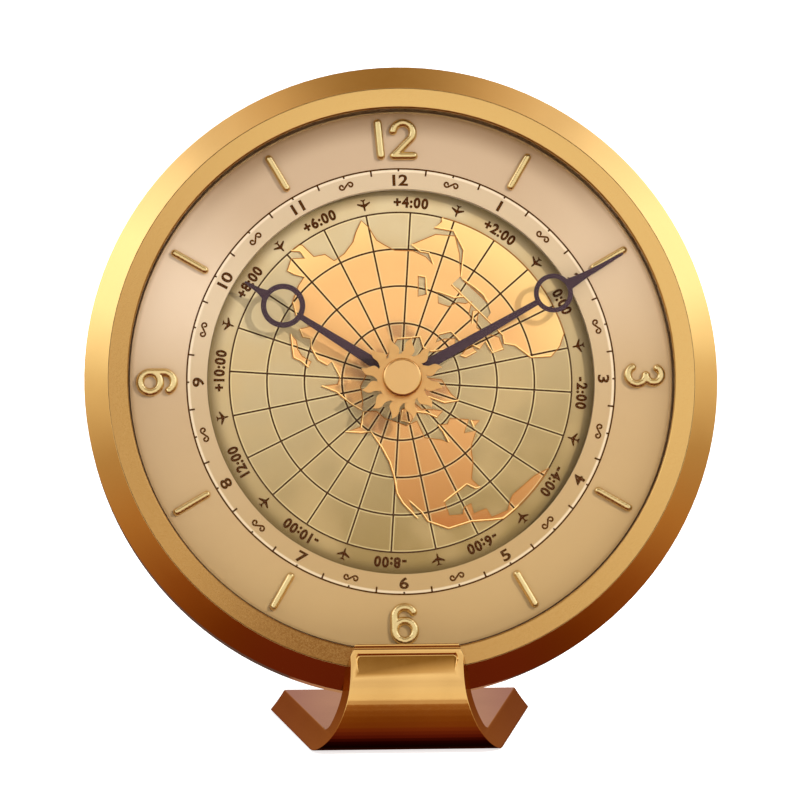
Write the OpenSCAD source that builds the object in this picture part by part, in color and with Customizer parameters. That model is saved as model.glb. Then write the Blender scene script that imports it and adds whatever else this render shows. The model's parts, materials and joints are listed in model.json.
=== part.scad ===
// World time desk clock: a drum case that leans back on the tongue of a bent plate stand.
// A map disc under the hands turns once a day, seen from above the north pole.
// The case, the dial and the movement are drawn in the dial's own frame, which head()
// places on the stand: x to the right, y up the dial, z out of the dial face.

/* [Case] */
// Radius of the opening that shows the dial
window_r = 84.4; // [80:0.2:90]
// Width of the flat bezel face
bezel_w = 6.3; // [5:0.1:8]
// Width of the sloping edge outside the bezel
bevel_w = 7.3; // [5:0.1:9]
// Height of the bezel face above the dial face
flat_z = 7.3; // [6.8:0.1:9]
// Drop of the sloping edge from the bezel to the rim
bevel_drop = 4.4; // [3:0.1:6]
// Depth of the case ring behind the dial face
case_depth = 13; // [12:0.5:16]
// Chamfer at the back of the rim
rim_chamfer = 3; // [1:0.5:4]
// Thickness of the bezel's lip over the glass
lip_t = 1.6; // [1.2:0.1:2]
// Cover of the bezel's lip over the edge of the glass
lip_cover = 2.8; // [2:0.1:3.2]

/* [Glass] */
// Thickness of the domed glass
glass_t = 2; // [1.5:0.1:2.4]
// Rise of the glass from its edge to its middle
glass_rise = 7.6; // [7:0.1:9]

/* [Dial] */
// Thickness of the dial plate
dial_t = 1.2; // [0.8:0.1:1.4]
// Width of the dial from the glass edge to the round opening over the map disc
dial_band = 24.25; // [22:0.05:26]
// Distance from the dial face down to the map disc
well_depth = 3.2; // [2.8:0.1:3.4]
// Gap between the end of an hour bar and the edge of the opening
bar_gap = 3; // [2:0.1:5]
// Length of an hour bar
bar_len = 12.4; // [8:0.2:12.6]
// Width of an hour bar
bar_w = 1.7; // [1.2:0.1:2.4]
// Radial height of the large numerals
numeral_h = 12.3; // [9:0.1:12.6]
// Width of the figures three, six and nine
numeral_w = 8.1; // [6:0.1:9]
// Distance of the middle of the large numerals from the edge of the opening
numeral_gap = 8.8; // [8:0.1:11]
// Width of the stroke of the large numerals
stroke_w = 1.9; // [1.4:0.1:2.3]

/* [Map] */
// Radius of the map's outer circle
map_r = 53.2; // [50:0.1:57]
// Latitude of the map's outer circle
map_edge_lat = 6; // [0:1:20]
// Thickness of the map disc
map_t = 1.1; // [0.8:0.1:1.2]
// Thickness of the raised land
land_t = 0.5; // [0.3:0.1:0.6]
// Longitude that points at twelve at rest
map_turned = 64; // [-180:1:180]

/* [Hands] */
// Distance of the hour hand's tip from the centre
hour_len = 57.3; // [50:0.1:58]
// Distance of the hour hand's ring from the centre
hour_ring_at = 43.3; // [38:0.1:45]
// Outer radius of the hour hand's ring
hour_ring_r = 6.9; // [5:0.1:7.5]
// Width of the line of the hour hand's ring
hour_line = 1.7; // [1.4:0.1:2.2]
// Width of the hour hand at its root
hour_root_w = 3.9; // [2:0.1:4.4]
// Width of the hour hand's spear next to its ring
hour_spear_w = 3.4; // [2:0.1:4]
// Distance of the minute hand's tip from the edge of the opening
minute_tip_gap = 4.9; // [4:0.1:9]
// Distance of the minute hand's ring from the centre
minute_ring_at = 54.4; // [50:0.1:58]
// Outer radius of the minute hand's ring
minute_ring_r = 6.1; // [5:0.1:7]
// Width of the line of the minute hand's ring
minute_line = 1.5; // [1.1:0.1:1.8]
// Width of the minute hand at its root
minute_root_w = 4; // [2:0.1:4.4]
// Width of the minute hand's spear next to its ring
minute_spear_w = 3.6; // [2:0.1:4]
// Width of both hands next to their rings
hand_neck_w = 1.7; // [1.2:0.1:2.4]
// Thickness of both hands
hand_t = 0.6; // [0.4:0.1:0.7]
// Clockwise angle of the hour hand from twelve, at rest
hour_angle = 302.8; // [0:0.1:360]
// Clockwise angle of the minute hand from twelve, at rest
minute_angle = 60.8; // [0:0.1:360]

/* [Sun] */
// Distance of the tips of the sun's rays from the centre
sun_tip_r = 12.9; // [11:0.1:14]
// Distance of the hollows between the rays from the centre
sun_valley_r = 7.6; // [7:0.1:9]
// Number of rays
sun_rays = 12; // [8:1:16]
// Radius of the cap in the middle of the sun
cap_r = 6.1; // [5:0.1:6.8]
// Height of the cap above the sun
cap_h = 3.4; // [2.5:0.1:3.5]
// Radius of the cap's rounded edge
cap_edge_r = 0.9; // [0.3:0.1:1.4]

/* [Stand] */
// Depth of the base from its toe to its back edge
base_d = 56; // [52:1:70]
// Thickness of the bent plate
plate_t = 6.5; // [5.5:0.1:7]
// Outside radius of the bend at the toe
toe_r = 9; // [8:0.5:10]
// Outside radius of the tongue's gentle bend above the toe
knee_r = 45; // [35:1:55]
// Angle that the dial leans back from upright
lean = 18; // [14:0.5:20]
// Gap between the rim and the base under it
rim_gap = 5.3; // [4:0.1:8]
// Cover of the tongue's top over the opening
tongue_cover = 1.9; // [1:0.1:2.4]
// Half width of the base's toe
toe_half = 29; // [26:0.5:32]
// Half width of the tongue at its waist
waist_half = 17.6; // [16.5:0.1:20]
// Height of the waist above the base's underside
waist_z = 32; // [30:0.5:34]
// Angle that the wings spread to the back
wing_angle = 13.6; // [10:0.1:16]
// Thickness of the felt pad
felt_t = 0.8; // [0.6:0.1:1.2]
// Inset of the felt pad from the base's edges
felt_inset = 5; // [4:0.5:10]

/* [Movement] */
// Tooth module of the hour and map gears
map_module = 0.6; // [0.6:0.01:0.62]
// Tooth module of the minute and setting gears
minute_module = 0.625; // [0.6:0.005:0.625]
// Tooth module of the centre wheel and its drive pinion
drive_module = 0.5; // [0.45:0.01:0.52]
// Radius of the minute arbor
arbor_r = 1.5; // [1.2:0.05:1.6]
// Wall of the hour tube
tube_wall = 1.05; // [0.9:0.05:1.2]
// Radius of the fixed posts that carry loose gears
post_r = 1.2; // [1:0.05:1.3]
// Thickness of the movement's plates
plate_thick = 2; // [1.6:0.1:2.2]
// Distance between the two plates
plate_gap = 10.4; // [10.4:0.1:12]

/* [Back] */
// Gap between the back housing and the screws round it
housing_gap = 0.2; // [0.2:0.1:2]
// Depth of the clock behind the dial face
back_depth = 42; // [41:0.5:48]
// Wall of the back housing
housing_wall = 2; // [1.6:0.1:2.4]
// Taper of the back housing towards the back
housing_taper = 4; // [2:0.5:6]
// Radius of the setting knob
knob_r = 8; // [6:0.5:9]
// Height of the setting knob
knob_h = 5.5; // [4:0.5:8]

/* [Battery] */
// Radius of the battery cell
cell_r = 7.25; // [7.2:0.05:7.3]
// Length of the battery cell with its cap
cell_len = 50.5; // [50:0.1:51]
// Distance of the battery's axis below the centre
cell_drop = 48; // [47:0.5:50]

/* [Fits] */
// Clearance of a turning shaft in its bore
run_gap = 0.05; // [0.03:0.01:0.08]
// Clearance round a piece that drops into its seat
seat_gap = 0.2; // [0.1:0.05:0.3]
// Clearance between a turning gear and what lies beside it
side_gap = 0.3; // [0.2:0.05:0.4]
// Clearance of a screw's thread in its hole
screw_gap = 0.05; // [0.02:0.01:0.1]

/* [Hidden] */

$fn = 72;
small_fn = 28;
eps = 0.01;

// Screw sizes
screw_r = 1.5;
head_r = 2.8;
head_t = 1.6;
small_screw_r = 0.95;
small_head_r = 1.7;
small_head_t = 0.7;

// Case radii, from the opening outwards
flat_r = window_r + bezel_w;
rim_r = flat_r + bevel_w;
glass_r = window_r + lip_cover;
pocket_r = glass_r + seat_gap;
ledge_r = window_r - 0.4;
bezel_skin = 0.2;
bezel_out_r = flat_r - bezel_skin;

well_r = window_r - dial_band;
bar_in = window_r - bar_gap - bar_len;
numeral_mid = window_r - numeral_gap;
minute_len = window_r - minute_tip_gap;

// Case levels, from the dial face outwards
rim_z = flat_z - bevel_drop;
lip_z = flat_z - lip_t;
glass_edge_z = lip_z - glass_t - seat_gap;
shoulder_z = 1.5;
side_z = rim_chamfer - case_depth;
glass_ball_r = (window_r * window_r + glass_rise * glass_rise) / (2 * glass_rise);

// Stand levels and places
base_under = felt_t / 2;
base_top = base_under + plate_t;
toe_y = -base_d / 2;
knee_z = base_under + toe_r;
knee_top = [toe_y + knee_r * (1 - cos(lean)), knee_z + knee_r * sin(lean)];
tongue_z = flat_z + plate_t;
head_z = base_top + rim_gap + rim_r * cos(lean) - side_z * sin(lean);
head_rise = (head_z - knee_top[1] + tongue_z * sin(lean)) / cos(lean);
head_y = knee_top[0] + head_rise * sin(lean) + tongue_z * cos(lean);
tongue_top_y = -(window_r - tongue_cover);

// Map levels
map_z = -well_depth;
map_back_z = map_z - map_t;
web_t = 1.7;
web_back_z = map_back_z - web_t;

// Shafts at the centre
tube_in_r = arbor_r + run_gap;
tube_r = tube_in_r + tube_wall;
hub_in_r = tube_r + run_gap;
hub_r = hub_in_r + 1.35;
clip_r = hub_r + 2.4;
clip_t = 0.4;
hand_z = 1.3;
hour_top_z = hand_z + hand_t;
minute_z = hour_top_z + 1;
minute_top_z = minute_z + hand_t;
sun_z = minute_top_z + 1.1;
sun_t = 1;
cap_z = sun_z + sun_t;
cap_top_z = cap_z + cap_h;

// Gear train: tooth counts, centre distances and levels
hour_teeth = 40;
ring_teeth = 80;
idler_teeth = 20;
pinion_teeth = 10;
cannon_teeth = 12;
minute_teeth = 36;
setting_teeth = 24;
centre_teeth = 60;
drive_teeth = 20;
idler_at = map_module * (hour_teeth + idler_teeth) / 2;
minute_at = map_module * (hour_teeth + pinion_teeth) / 2;
setting_at = minute_module * (minute_teeth + setting_teeth) / 2;
drive_at = drive_module * (centre_teeth + drive_teeth) / 2;
minute_scale = minute_at / (minute_module * (cannon_teeth + minute_teeth) / 2);
plate_z = -case_depth;
plate_back_z = plate_z - plate_thick;
bridge_z = plate_back_z - plate_gap;
bridge_t = 1.6;
bridge_back_z = bridge_z - bridge_t;
gear_low_z = plate_z + 0.6;
gear_low_t = 1.6;
hour_gear_z = gear_low_z + gear_low_t + 2;
hour_gear_t = 2;
hour_gear_top_z = hour_gear_z + hour_gear_t;
rim_gear_z = hour_gear_z - 0.2;
ring_rim_r = map_module * ring_teeth / 2 + 4;
post_head_z = hour_gear_top_z + side_gap;
post_head_t = 0.3;
centre_gear_z = plate_back_z - 4;
centre_gear_t = 1.6;
setting_r = 1.4;
bush_r = 3.4;

// Back levels
flange_t = 2;
flange_back_z = plate_back_z - flange_t;
back_z = -back_depth;
cover_t = 2;
cover_z = back_z + cover_t;
flange_r = rim_r - rim_chamfer - 5;
screw_ring_r = (ledge_r + flange_r) / 2;
housing_r = screw_ring_r - head_r - housing_gap;
cover_r = housing_r - housing_taper - housing_wall - 0.4;
cover_ledge = 3.6;

// Saddle block and its screws
block_half = 14;
block_back = 8;
base_screw_places = [[-8, 2], [8, 2]];
base_screw_bite = 3.6;
case_screw_x = 8;
case_screw_z = -3.5;
case_screw_bite = 5;

// Motor and circuit board on the rear plate
motor_size = [29, 28];
motor_left = 38;
motor_top_z = centre_gear_z - 1.8;
motor_shaft_r = 0.8;
board_t = 1.2;
board_size = [32, 15];
board_corner = [-26, -22];
chip_size = [9, 7, 1];
chip_inset = [6, 3];
can_r = 1.5;
can_len = 8;
can_place = [-6, -15];

// Battery bay
cell_z = cover_z + cell_r + 3.8;
bay_half_x = cell_len / 2 + 2.6;
bay_half_y = cell_r + 0.9;
bay_wall = 2;
door_half_x = bay_half_x + 1.2;
door_half_y = bay_half_y + 1.6;

// Places of the small parts
dial_post_at = well_r + 9.85;
dial_post_angles = [75, 195, 315];
pillar_at = 34;
pillar_r = 2.5;
pillar_angles = [100, 220, 340];
flange_screw_angles = [for (i = [0:5]) 30 + i * 60];
cover_screw_angles = [45, 135, 225, 315];
cover_screw_at = cover_r - 2;

// Puts what is drawn in the dial's frame at its place on the stand
module head() {
    translate([0, head_y, head_z]) rotate([90 - lean, 0, 0]) children();
}

// A ring between two radii and two levels
module ring(r_out, r_in, z_low, z_high, fn = $fn) {
    translate([0, 0, z_low]) difference() {
        cylinder(r = r_out, h = z_high - z_low, $fn = fn);
        translate([0, 0, -1]) cylinder(r = r_in, h = z_high - z_low + 2, $fn = fn);
    }
}

// A round bar or hole between two levels
module rod(r, z_low, z_high, fn = small_fn) {
    translate([0, 0, z_low]) cylinder(r = r, h = z_high - z_low, $fn = fn);
}

// Copies of a child on a circle, at angles counted clockwise from twelve
module around(radius, angles) {
    for (a = angles) rotate([0, 0, -a]) translate([0, radius, 0]) children();
}

// Points of an arc in a plane
function arc(cx, cy, r, a0, a1, n) =
    [for (i = [0:n]) let (a = a0 + (a1 - a0) * i / n) [cx + r * cos(a), cy + r * sin(a)]];

// A point at a radius and an angle
function polar(r, a) = [r * cos(a), r * sin(a)];

// Outline of a gear with outward teeth, with one tooth on the x axis
function gear_outline(teeth, size) =
    let (pitch = 360 / teeth, r = size * teeth / 2, tip = r + 0.9 * size, root = r - 1.25 * size)
    [for (i = [0:teeth - 1]) let (a = i * pitch) each [
        polar(root, a - 0.28 * pitch),
        polar(r, a - 0.21 * pitch),
        polar(tip, a - 0.09 * pitch),
        polar(tip, a + 0.09 * pitch),
        polar(r, a + 0.21 * pitch),
        polar(root, a + 0.28 * pitch)
    ]];

// Outline of the hole in a gear with inward teeth, with one tooth on the x axis
function inner_outline(teeth, size) =
    let (pitch = 360 / teeth, r = size * teeth / 2, tip = r - 0.9 * size, root = r + 1.25 * size)
    [for (i = [0:teeth - 1]) let (a = i * pitch) each [
        polar(root, a - 0.28 * pitch),
        polar(r, a - 0.21 * pitch),
        polar(tip, a - 0.1 * pitch),
        polar(tip, a + 0.1 * pitch),
        polar(r, a + 0.21 * pitch),
        polar(root, a + 0.28 * pitch)
    ]];

// A flat gear between two levels
module gear(teeth, size, z_low, z_high) {
    translate([0, 0, z_low]) linear_extrude(z_high - z_low) polygon(gear_outline(teeth, size));
}

// Side outline of the bent plate: base, toe and tongue as one band of even thickness
module plate_outline(tongue_end) {
    up = [sin(lean), cos(lean)];
    inward = [cos(lean), -sin(lean)];
    outer = concat(
        [[base_d / 2, base_under]],
        arc(toe_y + toe_r, knee_z, toe_r, 270, 180, 12),
        arc(toe_y + knee_r, knee_z, knee_r, 180, 180 - lean, 8),
        [knee_top + up * tongue_end]
    );
    inner = concat(
        [knee_top + up * tongue_end + inward * plate_t],
        arc(toe_y + knee_r, knee_z, knee_r - plate_t, 180 - lean, 180, 8),
        arc(toe_y + toe_r, knee_z, toe_r - plate_t, 180, 270, 8),
        [[base_d / 2, base_top]]
    );
    polygon(concat(outer, inner));
}

// The two round cuts that draw the tongue in and spread the wings
module side_cuts(grow = 0) {
    cut_r = (pow(toe_half - waist_half, 2) + pow(waist_z, 2)) / (2 * (toe_half - waist_half));
    for (side = [-1, 1])
        translate([side * (waist_half + cut_r), toe_y, waist_z])
            rotate([-90, 0, -side * wing_angle])
                translate([0, 0, -20]) cylinder(r = cut_r + grow, h = base_d + 60, $fn = 120);
}

module stand_body() {
    tongue_end = head_rise + tongue_top_y;
    corner = 1.8;
    corner_angle = 22;
    color("#d9a24a") difference() {
        rotate([90, 0, 90]) translate([0, 0, -50]) linear_extrude(100) plate_outline(tongue_end);
        side_cuts();
        for (side = [-1, 1]) translate([side * 60, 0, waist_z + 25])
            cube([2 * (60 - waist_half), 3 * base_d, 50], center = true);
        head() for (side = [-1, 1])
            translate([side * (waist_half - corner), tongue_top_y, 0]) rotate([0, 0, side * corner_angle])
                translate([side * 10, 0, tongue_z - plate_t]) cube([20, 30, 60], center = true);
        tongue_panel();
        felt_recess();
        for (at = base_screw_places) translate([at[0], at[1], 0]) {
            rod(screw_r + screw_gap, -1, base_top + 1);
            rod(head_r + seat_gap, -1, felt_t + head_t);
        }
    }
}

// The sloping panel and the groove across the top of the tongue
module tongue_panel() {
    lip_h = 3.2;
    groove_at = 1.2;
    groove_r = 0.3;
    panel_h = 5.7;
    panel_tilt = 13;
    panel_corner = 1.2;
    top_half = waist_half - 2.2;
    low_half = waist_half - 3;
    head() {
        translate([0, tongue_top_y - lip_h - panel_h, tongue_z]) rotate([-panel_tilt, 0, 0])
            linear_extrude(plate_t) {
                polygon([
                    [-low_half, 0], [low_half, 0], [top_half, panel_h - panel_corner],
                    [top_half - panel_corner, panel_h], [panel_corner - top_half, panel_h],
                    [-top_half, panel_h - panel_corner]
                ]);
                for (side = [-1, 1])
                    translate([side * (top_half - panel_corner), panel_h - panel_corner])
                        circle(r = panel_corner, $fn = small_fn);
            }
        translate([-waist_half, tongue_top_y - groove_at, tongue_z])
            rotate([0, 90, 0]) cylinder(r = groove_r, h = 2 * waist_half, $fn = 16);
    }
}

// Plan of the base at a given inset from its edges
module base_plan(inset) {
    spread = tan(wing_angle);
    y_front = toe_y + toe_r + inset;
    y_back = base_d / 2 - inset;
    front = toe_half + (y_front - toe_y) * spread - inset;
    back = toe_half + (y_back - toe_y) * spread - inset;
    polygon([[-front, y_front], [front, y_front], [back, y_back], [-back, y_back]]);
}

module felt_recess() {
    translate([0, 0, -1]) linear_extrude(1 + felt_t) base_plan(felt_inset - seat_gap);
}

module felt_pad() {
    color("#2b2320") difference() {
        linear_extrude(felt_t) base_plan(felt_inset);
        for (at = base_screw_places) translate([at[0], at[1], 0]) rod(head_r + seat_gap, -1, felt_t + 1);
    }
}

// The outside of the case with a margin, to cut what fits round it
module case_envelope(margin) {
    rotate_extrude() polygon([
        [0, flat_z + margin], [flat_r + margin, flat_z + margin], [rim_r + margin, rim_z + margin],
        [rim_r + margin, side_z - margin], [rim_r - rim_chamfer + margin, plate_z - margin],
        [flange_r + margin, plate_z - margin], [flange_r + margin, flange_back_z - margin],
        [housing_r + margin, flange_back_z - margin], [housing_r + margin, -back_depth],
        [0, -back_depth]
    ]);
}

// The block that fills the space between tongue, base and rim
module saddle_block() {
    seat = 0.1;
    color("#6b5a45") difference() {
        translate([-block_half, toe_y + plate_t, base_top])
            cube([2 * block_half, block_back - toe_y - plate_t, waist_z - base_top - 6]);
        rotate([90, 0, 90]) translate([0, 0, -50]) linear_extrude(100) plate_outline(head_rise);
        head() case_envelope(seat);
        head() translate([-50, -200, flat_z + plate_t / 2]) cube([100, 200, 60]);
        rotate([0, 90, 0]) translate([-knee_z, toe_y + toe_r, -50])
            cylinder(r = toe_r - plate_t + 0.1, h = 100, $fn = small_fn);
        for (at = base_screw_places) translate([at[0], at[1], 0])
            rod(screw_r + screw_gap, 0, base_top + base_screw_bite + 0.3);
        case_screw_rods(screw_r + screw_gap, head_r + seat_gap, 30);
    }
}

// Two rods along the dial's y axis through the block into the rim, with their heads below
module case_screw_rods(r, head, head_len) {
    head() for (side = [-1, 1]) translate([side * case_screw_x, 0, case_screw_z]) rotate([90, 0, 0]) {
        rod(r, rim_r - case_screw_bite, rim_r + 3.4);
        rod(head, rim_r + 3.4, rim_r + 3.4 + head_len);
    }
}

module case_screws() {
    color("#a8a8a8") case_screw_rods(screw_r, head_r, head_t);
}

// A slot across a screw head whose face is at the given level
module slot(head, z) {
    translate([0, 0, z]) cube([2 * head + 1, 0.3 * head, 0.5 * head], center = true);
}

module base_screws() {
    color("#a8a8a8") for (at = base_screw_places) translate([at[0], at[1], 0]) difference() {
        union() {
            rod(screw_r, felt_t + head_t - eps, base_top + base_screw_bite);
            rod(head_r, felt_t, felt_t + head_t);
        }
        slot(head_r, felt_t);
    }
}

module case_ring() {
    color("#d8a547") difference() {
        head() rotate_extrude() polygon([
            [bezel_out_r + 0.1, shoulder_z], [bezel_out_r + 0.1, flat_z], [flat_r, flat_z],
            [rim_r, rim_z], [rim_r, side_z], [rim_r - rim_chamfer, plate_z],
            [ledge_r, plate_z], [ledge_r, -dial_t], [pocket_r, -dial_t], [pocket_r, shoulder_z]
        ]);
        case_screw_rods(screw_r + screw_gap, head_r, 1);
        head() around(screw_ring_r, flange_screw_angles) rod(screw_r + screw_gap, plate_z - 1, plate_z + 6.3);
    }
}

module bezel_ring() {
    color("#e8bd7a") head() rotate_extrude() polygon([
        [window_r, lip_z], [window_r, flat_z - 0.4], [window_r + 0.4, flat_z],
        [bezel_out_r, flat_z], [bezel_out_r, shoulder_z],
        [pocket_r, shoulder_z], [pocket_r, lip_z]
    ]);
}

// Half outline of a dome of the given rise over its edge level
function dome(edge_r, z_edge, ball, n) =
    [for (i = [0:n]) let (r = edge_r * (1 - i / n)) [r, z_edge + sqrt(ball * ball - r * r)
        - sqrt(ball * ball - edge_r * edge_r)]];

module crystal() {
    under = dome(window_r, glass_edge_z, glass_ball_r, 10);
    over = dome(window_r, glass_edge_z + glass_t, glass_ball_r, 10);
    reversed = [for (i = [len(under) - 1:-1:0]) under[i]];
    color("#dfe8ea", 0.3) head() rotate_extrude() polygon(concat(
        [[glass_r, glass_edge_z], [glass_r, glass_edge_z + glass_t]], over, reversed));
}

module glass_gasket() {
    color("#3a2a14") head() ring(glass_r, window_r - 0.5, 0, glass_edge_z);
}

module dial_plate() {
    color("#d5bd93") head() difference() {
        union() {
            ring(glass_r, well_r, -dial_t, 0);
            ring(well_r + 1.1, well_r, map_z + side_gap, -dial_t + eps);
        }
        around(dial_post_at, dial_post_angles) rod(0.8 + screw_gap, -dial_t - 1, 0.2 - dial_t / 2);
    }
}

// Feet under the dial plate that stand on the main plate
module dial_posts() {
    color("#b8b4aa") head() around(dial_post_at, dial_post_angles) {
        rod(2, plate_z, -dial_t);
        rod(0.8, -dial_t - eps, -dial_t / 2);
    }
}

// Flat outline of a straight stroke with round ends, $stroke wide
module stroke(from, to) {
    len = norm(to - from);
    a = atan2(to[1] - from[1], to[0] - from[0]);
    translate(from) rotate(a) translate([0, -$stroke / 2]) square([len, $stroke]);
    for (end = [from, to]) translate(end) circle(r = $stroke / 2, $fn = small_fn);
}

// Flat outline of a curved stroke about a point, from one angle through another
module bow(cx, cy, r, a0, sweep) {
    reach = r + 2 * $stroke;
    fan = [for (i = [0:8]) polar(reach, a0 + sweep * i / 8)];
    translate([cx, cy]) {
        intersection() {
            difference() {
                circle(r = r + $stroke / 2);
                circle(r = r - $stroke / 2);
            }
            if (sweep < 360) polygon(concat([[0, 0]], fan));
            else circle(r = reach);
        }
        if (sweep < 360) for (a = [a0, a0 + sweep])
            translate(polar(r, a)) circle(r = $stroke / 2, $fn = small_fn);
    }
}

// Raises strokes off the dial face in three steps that narrow towards the top, as a round bar does
module raised(w) {
    steps = [[1, 0.3], [0.86, 0.48], [0.6, 0.62]];
    head() for (i = [0:2]) translate([0, 0, i == 0 ? 0 : steps[i - 1][1] * w])
        linear_extrude(w * (steps[i][1] - (i == 0 ? 0 : steps[i - 1][1]))) {
            $stroke = w * steps[i][0];
            children();
        }
}

module hour_bars() {
    bar_angles = [for (h = [1, 2, 4, 5, 7, 8, 10, 11]) h * 30];
    inset = bar_w / 2;
    color("#e9cf92") raised(bar_w) for (a = bar_angles) rotate(-a)
        stroke([0, bar_in + inset], [0, bar_in + bar_len - inset]);
}

// A slanted figure one and a figure two, side by side
module numeral_twelve() {
    half = numeral_h / 2 - stroke_w / 2;
    two_r = 3.1;
    tail = polar(two_r, -35);
    color("#e9cf92") raised(stroke_w) translate([0, numeral_mid]) {
        stroke([-6.3, half], [-5.4, -half]);
        translate([1.5, 0]) {
            bow(0, half - two_r, two_r, -35, 205);
            stroke([tail[0], half - two_r + tail[1]], [-2.9, -half]);
            stroke([-2.9, -half], [3.3, -half]);
        }
    }
}

module numeral_three() {
    high_r = 0.46 * (numeral_h - stroke_w) / 2;
    low_r = (numeral_h - stroke_w) / 2 - high_r;
    joint_y = low_r - high_r;
    color("#e9cf92") raised(stroke_w) rotate(-90) translate([-1, numeral_mid]) {
        bow(0, joint_y + high_r, high_r, -90, 240);
        bow(0, joint_y - low_r, low_r, -150, 240);
    }
}

// A figure six: a round bowl and a straight side that bends over it
module six_strokes() {
    r = (numeral_w - stroke_w) / 2;
    turn_y = numeral_h / 2 - stroke_w / 2 - r;
    bow(0, -turn_y, r, 0, 360);
    stroke([-r, -turn_y], [-r, turn_y]);
    bow(0, turn_y, r, 32, 148);
}

module numeral_six() {
    color("#e9cf92") raised(stroke_w) translate([0, -numeral_mid]) six_strokes();
}

module numeral_nine() {
    color("#e9cf92") raised(stroke_w) rotate(90) translate([0, numeral_mid]) rotate(180) six_strokes();
}

module map_disc() {
    color("#b0a77c") head() ring(well_r + 1.9, hub_r + run_gap, map_back_z, map_z);
}

// Longitude and latitude in degrees to a point on the map
function geo(place) =
    let (a = map_turned - place[0], r = map_r * (90 - place[1]) / (90 - map_edge_lat))
    [r * sin(a), r * cos(a)];

// Coasts as longitude and latitude
asia_coast = [
    [-170, 66], [180, 69], [160, 70], [140, 73], [112, 76], [100, 77], [80, 73], [68, 69], [50, 68],
    [40, 66], [30, 70], [18, 69], [8, 62], [7, 58], [12, 56], [18, 60], [22, 64], [24, 60], [18, 55],
    [9, 55], [4, 52], [-4, 48], [-1, 44], [-9, 43], [-9, 37], [-2, 37], [3, 42], [9, 44], [12, 42],
    [16, 38], [18, 40], [13, 45], [19, 42], [22, 37], [24, 40], [28, 42], [31, 46], [38, 47], [41, 42],
    [31, 41], [27, 38], [31, 36], [36, 36], [34, 30], [39, 20], [43, 13], [50, 15], [59, 22],
    [55, 25], [51, 25], [48, 30], [52, 27], [58, 25], [66, 25], [70, 22], [73, 19], [75, 12],
    [77, 8], [80, 13], [82, 17], [87, 21], [92, 22], [94, 17], [98, 15], [99, 7], [101, 5], [103, 3],
    [104, 5], [101, 9], [101, 13], [105, 9], [109, 12], [108, 16], [106, 20], [110, 21], [117, 24],
    [121, 29], [120, 34], [122, 38], [126, 34], [129, 37], [128, 41], [133, 43], [139, 48], [141, 53],
    [137, 55], [150, 60], [156, 59], [157, 51], [163, 58], [171, 61], [178, 63]
];
africa_coast = [
    [34, 30], [32, 31], [25, 31], [20, 31], [16, 32], [11, 34], [10, 37], [-2, 35], [-6, 36], [-9, 31],
    [-16, 25], [-17, 15], [-14, 10], [-8, 4], [-8, 0], [5, -20], [25, -25], [44, -15], [50, 0], [49, 8],
    [51, 12], [44, 11], [38, 18]
];
america_coast = [
    [-168, 66], [-156, 71], [-140, 70], [-125, 70], [-110, 68], [-95, 69], [-94, 60], [-82, 55],
    [-79, 52], [-77, 58], [-77, 62], [-69, 59], [-64, 60], [-56, 52], [-66, 50], [-60, 46], [-70, 43],
    [-75, 37], [-81, 31], [-80, 25], [-82, 26], [-84, 30], [-90, 29], [-97, 27], [-97, 20], [-92, 18],
    [-90, 21], [-87, 21], [-88, 16], [-83, 15], [-83, 10], [-80, 9], [-77, 8], [-74, 11], [-72, 12],
    [-62, 10], [-56, 5], [-56, 0], [-80, 0], [-80, 6], [-84, 9], [-90, 13], [-99, 14], [-106, 20],
    [-108, 25], [-113, 31], [-110, 22], [-116, 30], [-119, 35], [-121, 43], [-125, 50], [-133, 56],
    [-147, 61], [-154, 58], [-164, 53], [-158, 60]
];
greenland_coast = [
    [-45, 60], [-53, 66], [-56, 74], [-68, 78], [-60, 82], [-30, 83], [-18, 78], [-24, 70], [-40, 65]
];
arctic_coast = [
    [-62, 65], [-68, 69], [-80, 73], [-84, 77], [-80, 82], [-92, 80], [-100, 77], [-115, 76],
    [-118, 71], [-105, 69], [-90, 73], [-78, 70], [-72, 65]
];
britain_coast = [[-5, 50], [1, 51], [0, 54], [-3, 58], [-6, 56]];
japan_coast = [
    [130, 31], [136, 34], [141, 36], [142, 40], [145, 44], [141, 45], [139, 40], [136, 37], [132, 35]
];
newfoundland_coast = [[-59, 48], [-53, 47], [-56, 51]];
caspian_coast = [[47, 45], [52, 47], [53, 42], [54, 37], [50, 37], [49, 41]];

module land_relief() {
    coasts = [
        asia_coast, africa_coast, america_coast, greenland_coast, arctic_coast, britain_coast,
        japan_coast, newfoundland_coast
    ];
    color("#e6b266") head() translate([0, 0, map_z]) linear_extrude(land_t) difference() {
        intersection() {
            circle(r = map_r);
            union() for (coast = coasts) polygon([for (p = coast) geo(p)]);
        }
        polygon([for (p = caspian_coast) geo(p)]);
        circle(r = clip_r + seat_gap);
    }
}

module map_clip() {
    color("#c9a55a") head() ring(clip_r, hub_r + run_gap, map_z, map_z + clip_t, small_fn);
}

module map_ring_gear() {
    color("#c8a24a") head() {
        difference() {
            union() {
                rod(hub_r, web_back_z, map_z + clip_t);
                rod(ring_rim_r, web_back_z, map_back_z, $fn);
            }
            rod(hub_in_r, web_back_z - 1, 0);
            around(ring_rim_r * 0.5, [0, 60, 120, 180, 240, 300]) rod(4, web_back_z - 1, 0);
        }
        translate([0, 0, rim_gear_z]) linear_extrude(web_back_z - rim_gear_z) difference() {
            circle(r = ring_rim_r);
            polygon(inner_outline(ring_teeth, map_module));
        }
    }
}

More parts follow.
